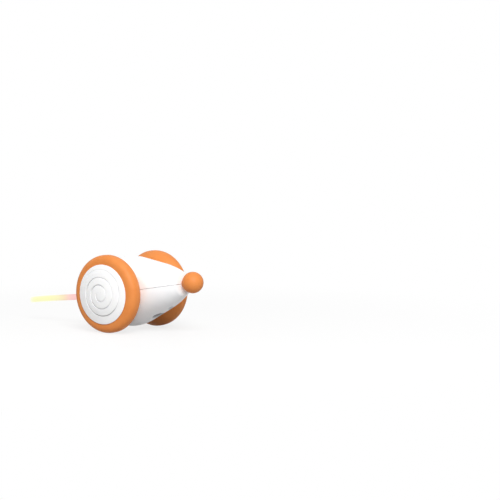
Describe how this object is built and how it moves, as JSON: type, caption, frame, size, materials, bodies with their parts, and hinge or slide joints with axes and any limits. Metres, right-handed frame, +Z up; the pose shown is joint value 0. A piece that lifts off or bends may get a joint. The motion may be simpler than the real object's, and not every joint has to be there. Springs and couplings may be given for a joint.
{
  "type": "robotic mouse cat toy",
  "caption": "Self-driving mouse-shaped cat toy: white clamshell body with ball nose and lit tail between large rubber-tyred wheels, each with its own motor and gear train.",
  "frame": {"origin": "on the floor, under the middle of the toy's length and width", "axes": "+X from the tail towards the nose, +Y to the toy's left along the wheel axle, +Z up"},
  "size_m": [0.1758, 0.0778, 0.06],
  "materials": {
    "shell_plastic": "satin",
    "cap_plastic": "satin",
    "orange_rubber": "satin",
    "tail_rubber": "satin",
    "steel": "satin",
    "cast_weight": "matte",
    "bronze": "satin",
    "gear_plastic": "satin",
    "frame_plastic": "matte",
    "circuit_board": "satin",
    "black_plastic": "satin",
    "battery_foil": "satin",
    "lamp_resin": "satin"
  },
  "bodies": {
    "body": {"upper_shell": "shell_plastic", "lower_shell": "shell_plastic", "nose_ball": "orange_rubber", "tail": "tail_rubber", "tail_light": "lamp_resin", "tail_light_board": "circuit_board", "main_board": "circuit_board", "switch_board": "circuit_board", "controller_chip": "black_plastic", "motor_driver_chip": "black_plastic", "tact_switch": "black_plastic", "charging_socket": "steel", "battery": "battery_foil", "counterweight": "cast_weight", "shell_screw_rear": "steel", "shell_screw_side": "steel", "shell_screw_front": "steel", "right_motor": "steel", "left_motor": "steel", "right_gear_frame": "frame_plastic", "left_gear_frame": "frame_plastic", "right_gear_cover": "frame_plastic", "left_gear_cover": "frame_plastic", "right_idler_pin": "steel", "left_idler_pin": "steel", "right_axle_bushing": "bronze", "left_axle_bushing": "bronze"},
    "right_wheel": {"right_tyre": "orange_rubber", "right_wheel_rim": "cap_plastic", "right_hub_cap": "cap_plastic", "right_wheel_screw": "steel", "right_wheel_shaft": "steel", "right_output_gear": "gear_plastic"},
    "left_wheel": {"left_tyre": "orange_rubber", "left_wheel_rim": "cap_plastic", "left_hub_cap": "cap_plastic", "left_wheel_screw": "steel", "left_wheel_shaft": "steel", "left_output_gear": "gear_plastic"},
    "right_idler": {"right_idler_gear": "gear_plastic"},
    "left_idler": {"left_idler_gear": "gear_plastic"},
    "right_rotor": {"right_motor_pinion": "bronze"},
    "left_rotor": {"left_motor_pinion": "bronze"},
    "button": {"power_button": "shell_plastic"},
    "plunger": {"switch_plunger": "black_plastic"}
  },
  "joints": [
    {"name": "right_wheel_spin", "type": "hinge", "parent": "body", "child": "right_wheel", "pos_m": [0.01998, 0, 0.03], "axis": [0, 1, 0], "continuous": true},
    {"name": "left_wheel_spin", "type": "hinge", "parent": "body", "child": "left_wheel", "pos_m": [0.01998, 0, 0.03], "axis": [0, 1, 0], "continuous": true},
    {"name": "right_idler_spin", "type": "hinge", "parent": "body", "child": "right_idler", "pos_m": [0.02663, 0, 0.02187], "axis": [0, 1, 0], "continuous": true},
    {"name": "left_idler_spin", "type": "hinge", "parent": "body", "child": "left_idler", "pos_m": [0.01626, 0, 0.02018], "axis": [0, 1, 0], "continuous": true},
    {"name": "right_motor_spin", "type": "hinge", "parent": "body", "child": "right_rotor", "pos_m": [0.03489, 0, 0.02751], "axis": [0, 1, 0], "continuous": true},
    {"name": "left_motor_spin", "type": "hinge", "parent": "body", "child": "left_rotor", "pos_m": [0.00664, 0, 0.02288], "axis": [0, 1, 0], "continuous": true},
    {"name": "power_button_press", "type": "slide", "parent": "body", "child": "button", "axis": [-0.4699, 0, 0.8827], "range_m": [0, 0.0006], "stiffness_N_per_m": 300, "springref_m": -0.002},
    {"name": "switch_plunger_press", "type": "slide", "parent": "body", "child": "plunger", "axis": [-0.4699, 0, 0.8827], "range_m": [0, 0.0006]}
  ],
  "couplings": [
    {"joint": "right_idler_spin", "follows": "right_wheel_spin", "ratio": -3.375},
    {"joint": "right_motor_spin", "follows": "right_wheel_spin", "ratio": 13.5},
    {"joint": "left_idler_spin", "follows": "left_wheel_spin", "ratio": -3.375},
    {"joint": "left_motor_spin", "follows": "left_wheel_spin", "ratio": 13.5},
    {"joint": "switch_plunger_press", "follows": "power_button_press", "ratio": 1}
  ]
}
